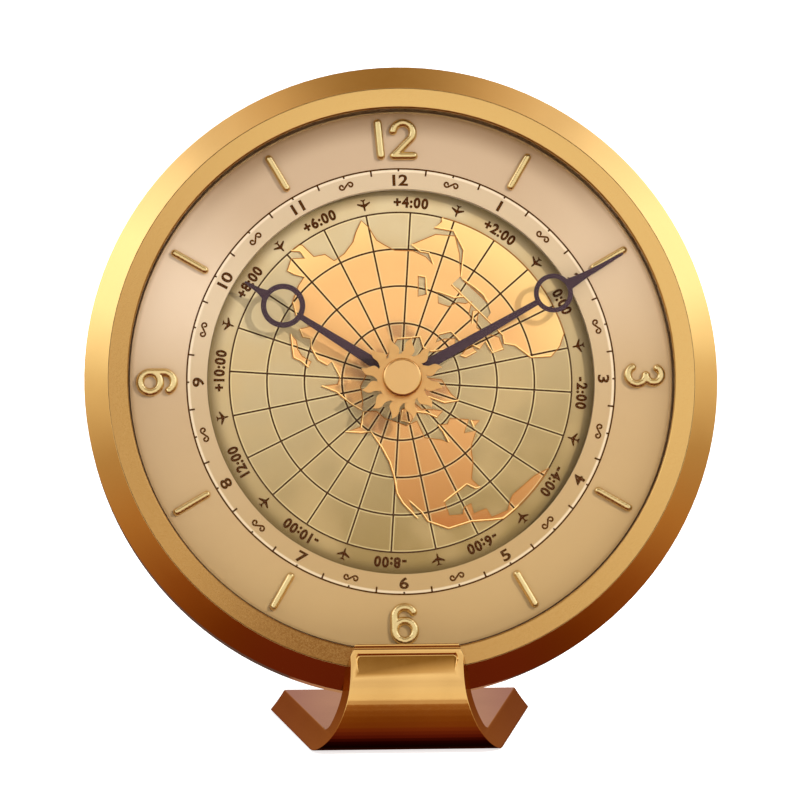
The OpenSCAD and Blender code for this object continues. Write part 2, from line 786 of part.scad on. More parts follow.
// A tapered shaft, a ring and a spear tip with hollow sides, pointing at twelve
module hand_outline(tip, ring_at, ring_r, line, hub, root_w, spear_w) {
    ring_low = ring_at - ring_r + line / 2;
    spear_y = ring_at + ring_r - line / 2;
    hollow_y = spear_y + 0.35 * (tip - spear_y);
    hollow_w = 0.27 * spear_w;
    tip_w = 0.3;
    polygon([
        [-root_w / 2, 0], [root_w / 2, 0], [hand_neck_w / 2, ring_low], [-hand_neck_w / 2, ring_low]
    ]);
    polygon([
        [-spear_w / 2, spear_y], [spear_w / 2, spear_y], [hollow_w, hollow_y],
        [tip_w, tip], [-tip_w, tip], [-hollow_w, hollow_y]
    ]);
    translate([0, ring_at]) difference() {
        circle(r = ring_r);
        circle(r = ring_r - line);
    }
    circle(r = hub);
}

module hour_hand() {
    color("#4a3a44") head() rotate([0, 0, -hour_angle]) difference() {
        translate([0, 0, hand_z]) linear_extrude(hand_t)
            hand_outline(hour_len, hour_ring_at, hour_ring_r, hour_line, 5, hour_root_w, hour_spear_w);
        rod(tube_r - 0.2, 0, 5);
    }
}

module minute_hand() {
    color("#4a3a44") head() rotate([0, 0, -minute_angle]) difference() {
        union() {
            translate([0, 0, minute_z]) linear_extrude(hand_t)
                hand_outline(minute_len, minute_ring_at, minute_ring_r, minute_line, 4.4,
                    minute_root_w, minute_spear_w);
            rod(2.6, minute_z - 0.6, minute_z + eps);
        }
        rod(arbor_r, 0, 8);
    }
}

// The tube of the hour hand with its gear, loose on the minute arbor
module hour_wheel() {
    color("#c8a24a") head() difference() {
        union() {
            gear(hour_teeth, map_module, hour_gear_z, hour_gear_top_z);
            rod(tube_r + 2, hour_gear_z - 1.6, web_back_z - 0.1);
            rod(tube_r, web_back_z - 0.2, hand_z);
            rod(tube_r - 0.2, hand_z - 0.1, hour_top_z + 0.1);
        }
        rod(tube_in_r, -20, 10);
    }
}

// The arbor through the whole movement, with its cannon pinion
module minute_arbor() {
    color("#c9c9c4") head() {
        rod(arbor_r, bridge_back_z - 0.6, cap_top_z - 0.9);
        gear(cannon_teeth, minute_module * minute_scale, gear_low_z, gear_low_z + gear_low_t);
    }
}

// One wavy flame of the sun, pointing at twelve
function flame(half_w, n) =
    let (
        ray_len = sun_tip_r - sun_valley_r,
        sway = 0.45,
        tip_shift = 0.9,
        centre = function (t) tip_shift * t + sway * sin(t * 360),
        half = function (t) half_w * (1 - pow(t, 2.4))
    )
    concat(
        [for (i = [0:n]) let (t = i / n) [centre(t) + half(t), sun_valley_r + t * ray_len]],
        [for (i = [n - 1:-1:0]) let (t = i / n) [centre(t) - half(t), sun_valley_r + t * ray_len]]
    );

module sun_ornament() {
    turn = 360 / sun_rays;
    first_ray = 11;
    half_w = 0.86 * sun_valley_r * sin(turn / 2);
    color("#e0a040") head() difference() {
        union() {
            translate([0, 0, sun_z]) linear_extrude(sun_t) {
                circle(r = sun_valley_r + 0.1);
                for (i = [0:sun_rays - 1]) rotate([0, 0, -(first_ray + i * turn)])
                    polygon(flame(half_w, 10));
            }
            rod(2.8, minute_top_z, sun_z + eps);
        }
        rod(arbor_r, 0, 20);
    }
}

module hub_cap() {
    color("#dcae55") head() difference() {
        rotate_extrude() polygon(concat(
            [[0, cap_z], [cap_r - 0.2, cap_z], [cap_r, cap_z + 0.2]],
            arc(cap_r - cap_edge_r, cap_top_z - cap_edge_r, cap_edge_r, 0, 90, 5),
            [[0, cap_top_z]]
        ));
        rod(arbor_r + 0.02, cap_z - 1, cap_top_z - 0.8);
    }
}

// The wheel between the cannon pinion and the hour wheel, with its own pinion
module minute_wheel() {
    color("#c8a24a") head() translate([0, minute_at, 0]) difference() {
        union() {
            rotate([0, 0, 180 / minute_teeth])
                gear(minute_teeth, minute_module * minute_scale, gear_low_z, gear_low_z + gear_low_t);
            rod(2.2, gear_low_z, hour_gear_z);
            gear(pinion_teeth, map_module, hour_gear_z - 0.2, hour_gear_top_z);
        }
        rod(post_r + run_gap, -20, 0);
    }
}

module map_idler() {
    color("#c8a24a") head() translate([0, -idler_at, 0]) difference() {
        rotate([0, 0, 180 / idler_teeth]) gear(idler_teeth, map_module, hour_gear_z, hour_gear_top_z);
        rod(post_r + run_gap, -20, 0);
    }
}

// Fixed posts for the minute wheel and the idler, each with a collar and a head
module gear_posts() {
    collar_r = post_r + 1;
    color("#c9c9c4") head() for (post = [[minute_at, gear_low_z], [-idler_at, hour_gear_z]])
        translate([0, post[0], 0]) {
            rod(post_r, plate_back_z, post_head_z + post_head_t);
            rod(collar_r, plate_z, post[1] - 0.1);
            rod(collar_r, post_head_z - 0.2, post_head_z + post_head_t - 0.2);
        }
}

module main_plate() {
    color("#b9b4a4") head() difference() {
        rod(flange_r, plate_back_z, plate_z, $fn);
        rod(bush_r, -50, 0);
        for (post = [minute_at, -idler_at]) translate([0, post, 0]) rod(post_r, -50, 0);
        translate([setting_at, minute_at, 0]) rod(setting_r + run_gap, -50, 0);
        around(pillar_at, pillar_angles) rod(screw_r + screw_gap, -50, 0);
        around(screw_ring_r, flange_screw_angles) rod(screw_r + screw_gap, -50, 0);
    }
}

module centre_bush() {
    color("#d8b860") head() difference() {
        union() {
            rod(bush_r, plate_back_z - 0.6, plate_z);
            rod(bush_r + 1.4, plate_z, plate_z + 0.3);
        }
        rod(tube_in_r, -50, 0);
    }
}

module rear_bush() {
    color("#d8b860") head() difference() {
        rod(bush_r, bridge_back_z, bridge_z);
        rod(tube_in_r, -50, 0);
    }
}

module rear_plate() {
    color("#b9b4a4") head() difference() {
        union() {
            rod(pillar_at - 4, bridge_back_z, bridge_z, $fn);
            around(pillar_at, pillar_angles) rod(5, bridge_back_z, bridge_z);
        }
        rod(bush_r, -50, 0);
        translate([setting_at, minute_at, 0]) rod(setting_r + run_gap, -50, 0);
        around(pillar_at, pillar_angles) rod(screw_r + screw_gap, -50, 0);
    }
}

module plate_pillars() {
    color("#c9c9c4") head() around(pillar_at, pillar_angles) difference() {
        rod(pillar_r, bridge_z, plate_back_z);
        rod(screw_r + screw_gap, -50, 0);
    }
}

// One long screw through the rear plate, the pillar and the main plate
module bridge_screws() {
    color("#a8a8a8") head() around(pillar_at, pillar_angles) difference() {
        union() {
            rod(screw_r, bridge_back_z - eps, plate_z);
            rod(head_r, bridge_back_z - head_t, bridge_back_z);
        }
        slot(head_r, bridge_back_z - head_t);
    }
}

module centre_wheel() {
    color("#c8a24a") head() difference() {
        union() {
            gear(centre_teeth, drive_module, centre_gear_z, centre_gear_z + centre_gear_t);
            rod(3.4, centre_gear_z - 1.4, centre_gear_z + eps);
        }
        rod(arbor_r, -50, 0);
        around(10, [0, 72, 144, 216, 288]) rod(3.4, -50, 0);
    }
}

module drive_pinion() {
    color("#c9c9c4") head() translate([-drive_at, 0, 0]) {
        rotate([0, 0, 180 / drive_teeth])
            gear(drive_teeth, drive_module, centre_gear_z - 0.2, centre_gear_z + centre_gear_t + 0.2);
        rod(motor_shaft_r, motor_top_z - 3, centre_gear_z);
    }
}

// Sealed stepping motor with its own reduction gears, on the rear plate
module motor_module() {
    color("#e8e4d8") head() difference() {
        union() {
            translate([-motor_left, -motor_size[1] / 2, bridge_z])
                cube([motor_size[0], motor_size[1], motor_top_z - bridge_z]);
            translate([-drive_at, 0, 0]) rod(2.4, motor_top_z - eps, motor_top_z + 0.6);
            for (side = [-1, 1]) translate([4 - motor_left, side * (motor_size[1] / 2 - 3.5), 0])
                rod(2.2, motor_top_z - eps, motor_top_z + 0.6);
        }
        translate([-drive_at, 0, 0]) rod(motor_shaft_r + run_gap, motor_top_z - 3.2, 0);
    }
}

// Board on the back of the rear plate, with its chip
module circuit_board() {
    color("#2f5d3a") head() {
        translate([board_corner[0], board_corner[1], bridge_back_z - board_t])
            cube([board_size[0], board_size[1], board_t]);
        translate([board_corner[0] + chip_inset[0], board_corner[1] + chip_inset[1],
            bridge_back_z - board_t - chip_size[2]])
            cube([chip_size[0], chip_size[1], chip_size[2] + eps]);
    }
}

module quartz_can() {
    color("#c9c9c4") head() translate([can_place[0], can_place[1], bridge_back_z - board_t - can_r])
        rotate([0, 90, 0]) cylinder(r = can_r, h = can_len, $fn = small_fn);
}

// Gear that turns the minute wheel by hand, on the shaft of the setting knob
module setting_wheel() {
    color("#c8a24a") head() translate([setting_at, minute_at, 0]) difference() {
        union() {
            gear(setting_teeth, minute_module * minute_scale, gear_low_z, gear_low_z + gear_low_t);
            rod(3, gear_low_z + gear_low_t - eps, gear_low_z + gear_low_t + 1.4);
        }
        rod(setting_r, -50, 0);
    }
}

module setting_knob() {
    knob_z = back_z - 0.6;
    grips = 24;
    color("#2a2a2a") head() translate([setting_at, minute_at, 0]) {
        rod(setting_r, knob_z - eps, gear_low_z + gear_low_t + 1);
        difference() {
            rod(knob_r, knob_z - knob_h, knob_z, 48);
            for (i = [0:grips - 1]) rotate([0, 0, i * 360 / grips])
                translate([knob_r + 0.35, 0, 0]) rod(0.8, knob_z - knob_h - 1, knob_z - 1, 16);
            rod(knob_r - 3, knob_z - knob_h - 1, knob_z - knob_h + 0.8);
        }
    }
}

module rear_housing() {
    back_in_r = cover_r + seat_gap;
    color("#2b2622") head() difference() {
        rotate_extrude() polygon([
            [flange_r, plate_back_z], [flange_r, flange_back_z], [housing_r, flange_back_z],
            [housing_r - housing_taper, back_z], [back_in_r, back_z], [back_in_r, cover_z],
            [cover_r - cover_ledge, cover_z], [cover_r - cover_ledge, cover_z + 2],
            [cover_r, cover_z + 5], [housing_r - housing_wall, flange_back_z],
            [housing_r - housing_wall, plate_back_z]
        ]);
        around(screw_ring_r, flange_screw_angles) rod(screw_r + screw_gap, -50, 0);
        around(cover_screw_at, cover_screw_angles) rod(small_screw_r + screw_gap, cover_z - 1, cover_z + 3);
    }
}

module housing_screws() {
    color("#a8a8a8") head() around(screw_ring_r, flange_screw_angles) difference() {
        union() {
            rod(screw_r, flange_back_z - eps, plate_z + 5);
            rod(head_r, flange_back_z - head_t, flange_back_z);
        }
        slot(head_r, flange_back_z - head_t);
    }
}

module back_cover() {
    color("#241f1c") head() difference() {
        rod(cover_r, back_z, cover_z, $fn);
        translate([setting_at, minute_at, 0]) rod(setting_r + 0.6, -50, 0);
        around(cover_screw_at, cover_screw_angles) rod(small_screw_r + screw_gap, -50, 0);
        around(cover_screw_at, cover_screw_angles) rod(small_head_r + 0.1, -50, back_z + 0.1 + small_head_t);
        translate([-door_half_x - seat_gap, -cell_drop - door_half_y - seat_gap, back_z - 1])
            cube([2 * (door_half_x + seat_gap), 2 * (door_half_y + seat_gap), cover_t + 2]);
    }
}

module back_screws() {
    color("#a8a8a8") head() around(cover_screw_at, cover_screw_angles) difference() {
        union() {
            rod(small_screw_r, back_z + small_head_t, cover_z + 2.6);
            rod(small_head_r, back_z + 0.1, back_z + 0.1 + small_head_t);
        }
        slot(small_head_r, back_z + 0.1);
    }
}

// Open box on the main plate that holds the cell between two contacts
module battery_holder() {
    outer_x = bay_half_x + bay_wall - 1;
    outer_y = bay_half_y + bay_wall - 1;
    color("#3a3632") head() translate([0, -cell_drop, 0]) difference() {
        translate([-outer_x, -outer_y, cover_z + 0.2])
            cube([2 * outer_x, 2 * outer_y, plate_back_z - cover_z - 0.2]);
        translate([-bay_half_x, -bay_half_y, cover_z - 1])
            cube([2 * bay_half_x, 2 * bay_half_y, cell_z + cell_r + 0.4 - cover_z + 1]);
        translate([-outer_x + 2, -outer_y + 2, cell_z + cell_r + 2])
            cube([2 * outer_x - 4, 2 * outer_y - 4, plate_back_z - cell_z - cell_r]);
    }
}

module battery_cell() {
    cap_len = 1.4;
    color("#6a6f74") head() translate([0, -cell_drop, cell_z]) rotate([0, 90, 0]) {
        translate([0, 0, -cell_len / 2]) cylinder(r = cell_r, h = cell_len - cap_len);
        translate([0, 0, cell_len / 2 - cap_len - eps]) cylinder(r = 2.7, h = cap_len + eps, $fn = small_fn);
    }
}

module contact_plus() {
    color("#c9c9c4") head() translate([cell_len / 2 + 0.1, -cell_drop, cell_z])
        translate([0, -6, -6]) cube([bay_half_x - cell_len / 2 - 0.1, 12, 12]);
}

// Leaf spring that presses on the flat end of the cell
module contact_minus() {
    leaf_t = 0.4;
    reach = bay_half_x - cell_len / 2 - 0.1;
    color("#c9c9c4") head() translate([-bay_half_x, -cell_drop - 5, cell_z]) rotate([-90, 0, 0])
        linear_extrude(10) polygon([
            [0, -6], [leaf_t, -6], [leaf_t, 3], [reach - leaf_t, -0.2], [reach - leaf_t, -1.2],
            [reach, -1.2], [reach, 0.2], [leaf_t, 4], [leaf_t, 6], [0, 6]
        ]);
}

module battery_door() {
    color("#241f1c") head() translate([0, -cell_drop, 0]) difference() {
        translate([-door_half_x, -door_half_y, back_z])
            cube([2 * door_half_x, 2 * door_half_y, cover_t - 0.1]);
        for (i = [-2:2]) translate([door_half_x - 8 + i * 2, 0, back_z])
            cube([0.8, 2 * door_half_y - 8, 1], center = true);
    }
}

stand_body();
felt_pad();
saddle_block();
base_screws();
case_screws();
case_ring();
bezel_ring();
crystal();
glass_gasket();
dial_plate();
dial_posts();
hour_bars();
numeral_twelve();
numeral_three();
numeral_six();
numeral_nine();
map_disc();
land_relief();
map_clip();
map_ring_gear();
hour_hand();
hour_wheel();
minute_hand();
minute_arbor();
sun_ornament();
hub_cap();
minute_wheel();
map_idler();
gear_posts();
main_plate();
rear_plate();
plate_pillars();
bridge_screws();
centre_bush();
rear_bush();
centre_wheel();
drive_pinion();
motor_module();
circuit_board();
quartz_can();
setting_wheel();
setting_knob();
rear_housing();
housing_screws();
back_cover();
back_screws();
battery_holder();
battery_cell();
contact_plus();
contact_minus();
battery_door();
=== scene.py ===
"""World time desk clock: materials, printed dial details, studio light and camera around the CAD frame."""

import json
import math

import bpy
from mathutils import Matrix, Vector


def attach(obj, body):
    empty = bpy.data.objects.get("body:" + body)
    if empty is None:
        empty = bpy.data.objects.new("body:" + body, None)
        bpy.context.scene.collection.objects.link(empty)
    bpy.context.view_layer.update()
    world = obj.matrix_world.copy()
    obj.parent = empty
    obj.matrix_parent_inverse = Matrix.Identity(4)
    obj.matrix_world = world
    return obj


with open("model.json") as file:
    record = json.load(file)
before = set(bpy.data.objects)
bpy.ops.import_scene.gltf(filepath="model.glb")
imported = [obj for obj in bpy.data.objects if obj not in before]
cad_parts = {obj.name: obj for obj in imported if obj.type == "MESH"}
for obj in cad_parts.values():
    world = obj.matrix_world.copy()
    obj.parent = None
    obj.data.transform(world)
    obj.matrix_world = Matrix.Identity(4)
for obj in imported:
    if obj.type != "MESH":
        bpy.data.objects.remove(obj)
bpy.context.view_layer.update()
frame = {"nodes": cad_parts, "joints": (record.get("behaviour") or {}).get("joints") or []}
nodes = frame["nodes"]

MM = 0.001
PER_METRE = 1000

# The dial's frame: x to the right, y up along the dial and z out of it. HEAD leads from it to the
# row frame, and BACK the other way.
LEAN = 18.0
JOINT = next(j for j in frame["joints"] if j["name"] == "minute_turn")
HEAD = Matrix.Translation(JOINT["pos_m"]) @ Matrix.Rotation(math.radians(90 - LEAN), 4, "X")
BACK = HEAD.inverted()

# The map's grid, in millimetres and in degrees clockwise from twelve: its outer circle, the step
# between circles, the part without circles, the clear spot at the pole, the meridians and the face
MAP_R = 53.2
LAT_STEP = 11.63
NO_CIRCLES_R = 14.0
POLE_R = 9.5
MERIDIAN_STEP = 15.0
MERIDIAN_AT = 4.0
MAP_Z = -3.2

# Radii of the printed marks on the map's rim and on the hour ring, and the turn from hour to hour
ZONE_R = 56.5
PLANE_R = 56.4
HOUR_FIGURE_R = 62.9
SCROLL_R = 63.2
HOUR_CIRCLE_R = 66.4
HOUR_TURN = 30

# How far print reaches into its face and stands out of it
PRINT_IN = 0.02
PRINT_OUT = 0.03
COAST_OUT = 0.02

# The colour sockets of a Mix node
MIX_A, MIX_B, MIX_OUT = 6, 7, 2


def linear(text):
    """A web colour as linear red, green and blue."""
    parts = [int(text[i : i + 2], 16) / 255 for i in (1, 3, 5)]
    return tuple(v / 12.92 if v <= 0.04045 else ((v + 0.055) / 1.055) ** 2.4 for v in parts)


class Tree:
    """A node tree with short calls for the nodes that the looks need."""

    def __init__(self, tree):
        self.tree = tree

    def node(self, kind, **settings):
        made = self.tree.nodes.new(kind)
        for key, value in settings.items():
            setattr(made, key, value)
        return made

    def feed(self, socket, value):
        """Links a socket to a node's output, or sets it to a number or a colour."""
        if isinstance(value, bpy.types.NodeSocket):
            self.tree.links.new(value, socket)
        elif isinstance(value, tuple):
            socket.default_value = (*value, 1)
        else:
            socket.default_value = value

    def math(self, operation, *values):
        made = self.node("ShaderNodeMath", operation=operation)
        for socket, value in zip(made.inputs, values):
            self.feed(socket, value)
        return made.outputs[0]

    def split(self, vector):
        made = self.node("ShaderNodeSeparateXYZ")
        self.feed(made.inputs[0], vector)
        return made.outputs

    def span(self, value, low, high, to_low=0.0, to_high=1.0, kind="SMOOTHSTEP"):
        """Carries the range from low to high over to another one, and holds its ends."""
        made = self.node("ShaderNodeMapRange", interpolation_type=kind)
        for key, number in (
            ("Value", value),
            ("From Min", low),
            ("From Max", high),
            ("To Min", to_low),
            ("To Max", to_high),
        ):
            self.feed(made.inputs[key], number)
        return made.outputs["Result"]

    def mix(self, factor, a, b):
        made = self.node("ShaderNodeMix", data_type="RGBA")
        for key, value in (("Factor", factor), (MIX_A, a), (MIX_B, b)):
            self.feed(made.inputs[key], value)
        return made.outputs[MIX_OUT]

    def mix_shader(self, factor, a, b):
        made = self.node("ShaderNodeMixShader")
        for socket, value in zip(made.inputs, (factor, a, b)):
            self.feed(socket, value)
        return made.outputs[0]


class Shader(Tree):
    """A material with its Principled shader."""

    def __init__(self, name, color, metallic, roughness):
        self.mat = bpy.data.materials.new(name)
        self.mat.use_nodes = True
        super().__init__(self.mat.node_tree)
        self.bsdf = self.tree.nodes["Principled BSDF"]
        self.set("Base Color", linear(color))
        self.set("Metallic", metallic)
        self.set("Roughness", roughness)

    def set(self, key, value):
        """Feeds one of the shader's own sockets."""
        self.feed(self.bsdf.inputs[key], value)

    def place(self, local):
        """Position in millimetres: in the row frame, or in the dial's frame where local is true."""
        coord = self.node("ShaderNodeTexCoord")
        mapping = self.node("ShaderNodeMapping", vector_type="POINT")
        self.feed(mapping.inputs["Vector"], coord.outputs["Object"])
        if local:
            mapping.inputs["Rotation"].default_value = BACK.to_euler("XYZ")
            mapping.inputs["Location"].default_value = [v * PER_METRE for v in BACK.to_translation()]
        mapping.inputs["Scale"].default_value = (PER_METRE, PER_METRE, PER_METRE)
        return mapping.outputs["Vector"]

    def polar(self):
        """Position, x and y, radius and clockwise angle from twelve in degrees, in the dial's frame."""
        at = self.place(True)
        x, y, _ = self.split(at)
        square = self.math("ADD", self.math("MULTIPLY", x, x), self.math("MULTIPLY", y, y))
        angle = self.math("MULTIPLY", self.math("ARCTAN2", x, y), 180 / math.pi)
        return at, x, y, self.math("SQRT", square), angle

    def stretch(self, vector, scale):
        made = self.node("ShaderNodeMapping", vector_type="POINT")
        self.feed(made.inputs["Vector"], vector)
        made.inputs["Scale"].default_value = scale
        return made.outputs["Vector"]

    def noise(self, vector, scale, detail=2.0, rough=0.5):
        made = self.node("ShaderNodeTexNoise")
        for key, value in (("Vector", vector), ("Scale", scale), ("Detail", detail), ("Roughness", rough)):
            self.feed(made.inputs[key], value)
        return made.outputs["Fac"]

    def away(self, value, middle):
        """How far a value is from the middle, on either side."""
        return self.math("ABSOLUTE", self.math("SUBTRACT", value, middle))

    def band(self, value, middle, near, far):
        """1 round the middle and 0 beyond, with a soft edge from near to far."""
        return self.span(self.away(value, middle), near, far, 1.0, 0.0)

    def tint(self, base, mask, amount, color):
        """Moves a colour by the amount towards another one where the mask is 1."""
        other = linear(color) if isinstance(color, str) else color
        return self.mix(self.math("MULTIPLY", mask, amount), base, other)

    def mottle(self, color, noise, dark, light):
        """Colours the shader between a darker and a lighter tone of one colour."""
        base = linear(color)
        darker = tuple(v * dark for v in base)
        lighter = tuple(min(1, v * light) for v in base)
        self.set("Base Color", self.mix(noise, darker, lighter))

    def bump(self, height, strength, distance=0.0001):
        made = self.node("ShaderNodeBump")
        for key, value in (("Strength", strength), ("Distance", distance), ("Height", height)):
            self.feed(made.inputs[key], value)
        self.set("Normal", made.outputs["Normal"])


def metal(name, color, roughness, grain=0.0, wear=0.06):
    """Polished or satin metal: faint patches in colour and gloss, and a fine grain where asked."""
    s = Shader(name, color, 1.0, roughness)
    at = s.place(True)
    base = linear(color)
    darker = tuple(v * (1 - 2 * wear) for v in base)
    s.set("Base Color", s.mix(s.span(s.noise(at, 0.035, 3.0), 0.3, 0.7), darker, base))
    s.set("Roughness", s.span(s.noise(at, 0.6), 0.25, 0.75, roughness * 0.85, roughness * 1.15))
    if grain:
        s.bump(s.noise(at, 3.6), grain)
    return s.mat


def plastic(name, color, roughness):
    """Moulded plastic with a fine eroded texture."""
    s = Shader(name, color, 0.0, roughness)
    at = s.place(True)
    s.mottle(color, s.noise(at, 0.08, 3.0), 0.85, 1.12)
    fine = s.noise(at, 1.2, 3.0)
    s.set("Roughness", s.span(fine, 0.3, 0.7, roughness * 0.9, roughness * 1.1))
    s.bump(fine, 0.15)
    return s.mat


def printed_grid(s, color, radius, angle):
    """Adds the map's circles and meridians, with the light edge that runs beside each line."""
    step = s.math("DIVIDE", s.math("SUBTRACT", MAP_R, radius), LAT_STEP)
    ring_off = s.math("MULTIPLY", s.away(step, s.math("ROUND", step)), LAT_STEP)
    turn = s.math("DIVIDE", s.math("SUBTRACT", angle, MERIDIAN_AT), MERIDIAN_STEP)
    part = s.math("MULTIPLY", s.away(turn, s.math("ROUND", turn)), math.radians(MERIDIAN_STEP))
    ray_off = s.math("MULTIPLY", part, radius)
    no_circles = s.math("MULTIPLY", s.math("LESS_THAN", radius, NO_CIRCLES_R), 50.0)
    off = s.math("MINIMUM", s.math("ADD", ring_off, no_circles), ray_off)
    inside = s.math("LESS_THAN", radius, MAP_R + 0.25)
    shown = s.math("MULTIPLY", inside, s.math("GREATER_THAN", radius, POLE_R))
    halo = s.math("MULTIPLY", s.span(off, 0.34, 0.85, 1.0, 0.0), shown)
    line = s.math("MULTIPLY", s.span(off, 0.22, 0.36, 1.0, 0.0), shown)
    s.set("Specular IOR Level", 0.25)
    return s.mix(line, s.tint(color, halo, 0.35, "#f2dca2"), linear("#3a1f08"))


def sea_material():
    """The map's olive ground with painted light, lighter towards the top, and painted shade at its rim
    from the wall of the well, with the grid.
    """
    s = Shader("sea_print", "#b3a678", 0.0, 0.5)
    at, x, y, radius, angle = s.polar()
    # Painted light: lighter towards the top and a little towards the left
    across = s.span(s.math("SUBTRACT", s.math("MULTIPLY", y, 0.75), s.math("MULTIPLY", x, 0.2)), -55, 55)
    base = s.mix(across, linear("#826a3c"), linear("#bda985"))
    base = s.tint(base, s.span(s.noise(at, 0.045), 0.4, 0.65), 0.5, "#ae9366")
    # Painted shade along the rim, where the wall of the well shades the map
    base = s.tint(base, s.span(radius, 55.5, 60.3), 0.85, "#5e4c2a")
    s.set("Base Color", printed_grid(s, base, radius, angle))
    s.set("Metallic", 0.15)
    s.bump(s.noise(at, 2.5), 0.05)
    return s.mat


def land_material():
    """The raised land: orange gold with painted light, lighter towards the top, a painted highlight far
    out at the top, painted dark patches by the pole that mirror the sun ornament, and browner in the
    south.
    """
    s = Shader("land_print", "#e6b470", 0.35, 0.36)
    at, _, y, radius, angle = s.polar()
    # Painted light: darker towards the bottom, lighter towards the top
    base = s.mix(s.span(y, -60, 28), linear("#9e6834"), linear("#dfa96d"))
    # Painted highlight far out at the top of the map
    light = s.math("MULTIPLY", s.span(radius, 36, 54), s.span(y, -20, 30))
    base = s.tint(base, light, 0.72, "#efca84")
    # Painted dark patches by the pole, the sun ornament mirrored in the metal
    near = s.math("MULTIPLY", s.span(radius, 20.5, 17.5), s.span(s.noise(at, 0.11), 0.42, 0.56))
    base = s.tint(base, near, 0.6, "#94694a")
    south = s.math("MULTIPLY", s.span(y, -40, -44), s.span(radius, 38, 44))
    base = s.tint(base, south, 0.6, "#a8632f")
    s.set("Base Color", printed_grid(s, base, radius, angle))
    s.set("Roughness", s.span(s.noise(at, 0.8), 0.3, 0.7, 0.30, 0.40))
    return s.mat


def dial_material():
    """Champagne dial with painted light: lighter towards the top, a painted sheen on both sides, the hour
    ring, a painted dark line under the bezel's edge and the painted shade of the bezel at the top.
    """
    s = Shader("dial_champagne", "#d5b08c", 0.35, 0.42)
    at, x, y, radius, angle = s.polar()
    # Painted light: lighter towards the top and a little towards the left
    slope = s.span(s.math("SUBTRACT", y, s.math("MULTIPLY", x, 0.2)), -80, 80)
    base = s.mix(slope, linear("#b49465"), linear("#ba9f84"))
    # Painted sheen: two pale lobes on either side, where the satin would catch the light
    for middle, reach, amount in ((-67.0, 30.0, 0.36), (60.0, 32.0, 0.16)):
        base = s.tint(base, s.band(angle, middle, 0.0, reach), amount, "#ffe8d2")
    # The hour ring's own tone, with the same painted light, lighter towards the top
    ring = s.mix(slope, linear("#aa8b5e"), linear("#c8b396"))
    base = s.tint(base, s.span(radius, 66.2, 66.6, 1.0, 0.0), 0.6, ring)
    base = s.tint(base, s.band(radius, 65.75, 0.15, 0.6), 0.5, "#f3e2c8")
    # Painted shade: a dark line just inside the bezel's edge
    base = s.tint(base, s.band(radius, 83.8, 0.2, 1.4), 0.4, "#7c5c34")
    # Painted shade of the bezel over the top of the dial
    overhead = s.math("MULTIPLY", s.band(angle, 0.0, 28.0, 62.0), 0.7)
    shade = s.math("MULTIPLY", s.span(radius, 74.5, 84.0), overhead)
    s.set("Base Color", s.mix(shade, base, linear("#6f4f2c")))
    fine = s.noise(at, 4.0)
    s.set("Roughness", s.span(fine, 0.3, 0.7, 0.36, 0.48))
    s.bump(fine, 0.06)
    return s.mat


def bezel_material():
    """Satin gold ring: painted light, paler to the upper right, worn and browner below, with a fine fleck.
    """
    s = Shader("bezel_satin", "#e9b877", 1.0, 0.3)
    at, x, y, radius, angle = s.polar()
    fine = s.noise(at, 9.0, 3.0, 0.6)
    # Painted light: paler where the ring faces the upper right
    along = s.math("ADD", s.math("MULTIPLY", x, 0.8), s.math("MULTIPLY", y, 1.17))
    toward = s.math("DIVIDE", s.math("MULTIPLY", along, 0.7071), radius)
    base = s.mix(s.span(toward, -1.1, 1.0), linear("#c08e4c"), linear("#f1c67c"))
    base = s.tint(base, s.span(fine, 0.35, 0.65), 0.3, "#fbe0a4")
    spots = s.span(s.noise(at, 1.6, 3.0, 0.7), 0.3, 0.7, 0.5, 0.85)
    worn = s.math("MULTIPLY", s.band(angle, -170.0, 6.0, 46.0), spots)
    base = s.mix(worn, base, linear("#825222"))
    s.set("Base Color", s.tint(base, s.span(radius, 85.0, 84.5), 0.4, "#8a5a22"))
    s.set("Roughness", s.span(fine, 0.3, 0.7, 0.26, 0.36))
    s.bump(fine, 0.03)
    return s.mat


def stand_material():
    """Polished gold, with the colour a little redder out on the two wings."""
    s = Shader("stand_gold", "#eec27e", 1.0, 0.10)
    at = s.place(False)
    wings = s.span(s.math("ABSOLUTE", s.split(at)[0]), 18.0, 40.0)
    base = s.mix(s.span(s.noise(at, 0.035, 3.0), 0.3, 0.7), linear("#e0b472"), linear("#eec27e"))
    s.set("Base Color", s.tint(base, wings, 0.7, "#bc7850"))
    s.set("Roughness", s.span(s.noise(at, 0.6), 0.25, 0.75, 0.08, 0.12))
    return s.mat


def gasket_material():
    """Champagne spacer ring under the glass, with painted shade at its top edge under the bezel's lip."""
    s = Shader("spacer_ring", "#a8885a", 0.3, 0.4)
    at = s.place(True)
    # Painted shade: dark at the top, under the bezel's lip
    lip_shade = s.span(s.split(at)[2], 2.3, 2.7)
    base = s.mix(s.noise(at, 0.5), linear("#9c7c4e"), linear("#b89866"))
    s.set("Base Color", s.mix(lip_shade, base, linear("#3c260f")))
    s.set("Roughness", s.span(s.noise(at, 3.0), 0.3, 0.7, 0.36, 0.5))
    return s.mat


